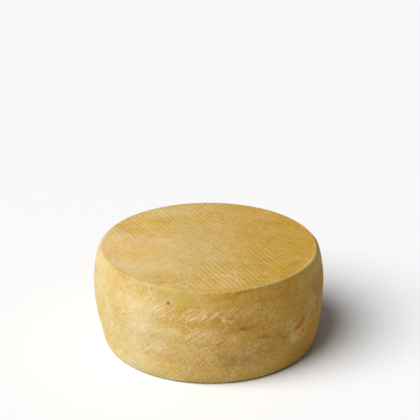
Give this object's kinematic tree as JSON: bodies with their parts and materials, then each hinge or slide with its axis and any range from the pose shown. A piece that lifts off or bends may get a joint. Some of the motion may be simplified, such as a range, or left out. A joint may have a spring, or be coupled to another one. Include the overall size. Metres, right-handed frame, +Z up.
{
  "type": "semi-cured sheep cheese",
  "caption": "Whole pressed sheep's-milk cheese wheel with a barrel-shaped side, a plaited herringbone print in the rind and ribbed flat faces, standing on its base.",
  "frame": {"origin": "at base level, under the middle of the wheel's fullest part", "axes": "+Z up through the two faces, along the wheel's height; -Y towards the viewer of the picture"},
  "size_m": [0.2114, 0.2084, 0.0924],
  "materials": {
    "rind": "natural cheese rind, straw yellow with a pale dry bloom, a faint oily sheen and small dark mould specks"
  },
  "bodies": {
    "root": {"cheese_wheel": "rind"}
  },
  "joints": []
}
